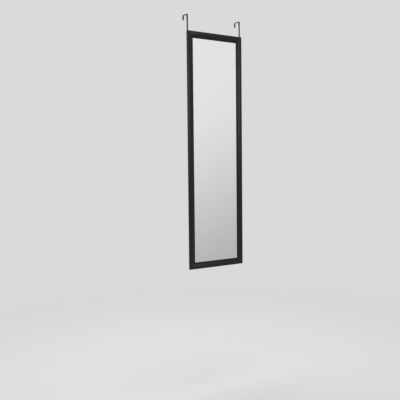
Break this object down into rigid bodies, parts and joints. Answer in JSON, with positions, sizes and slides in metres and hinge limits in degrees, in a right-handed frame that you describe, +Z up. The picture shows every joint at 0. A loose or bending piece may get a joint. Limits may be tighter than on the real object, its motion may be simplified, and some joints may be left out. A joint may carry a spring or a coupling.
{
  "type": "over the door mirror",
  "caption": "Tall narrow mirror in a crowned black moulding with mitred corners, hung over the top of a door by two bent steel hanger straps that turn on their screws.",
  "frame": {"origin": "middle of the door's top edge, on the door face that the mirror hangs against", "axes": "+Z up, +Y into the door away from the glass, +X to the right seen from the front"},
  "size_m": [0.356, 0.0559, 1.3567],
  "materials": {
    "moulding": "satin black moulding",
    "mirror": "silvered float glass",
    "board": "smooth brown hardboard",
    "black_steel": "black powder coat",
    "zinc_steel": "bright zinc plate",
    "foam": "dark grey closed-cell foam"
  },
  "bodies": {
    "mirror": {"left_stile": "moulding", "right_stile": "moulding", "top_rail": "moulding", "bottom_rail": "moulding", "mirror_glass": "mirror", "backing_board": "board", "corner_v_nails": "zinc_steel", "board_points": "zinc_steel", "left_hanger_screw": "zinc_steel", "right_hanger_screw": "zinc_steel", "left_bumper": "foam", "right_bumper": "foam"},
    "left_hook": {"left_hanger": "black_steel", "left_leg_pad": "foam", "left_bridge_pad": "foam", "left_lip_pad": "foam"},
    "right_hook": {"right_hanger": "black_steel", "right_leg_pad": "foam", "right_bridge_pad": "foam", "right_lip_pad": "foam"}
  },
  "joints": [
    {"name": "left_hanger_pivot", "type": "hinge", "parent": "mirror", "child": "left_hook", "pos_m": [-0.1695, -0.0031, -0.116], "axis": [0, 1, 0], "continuous": true},
    {"name": "right_hanger_pivot", "type": "hinge", "parent": "mirror", "child": "right_hook", "pos_m": [0.1695, -0.0031, -0.116], "axis": [0, 1, 0], "continuous": true}
  ]
}
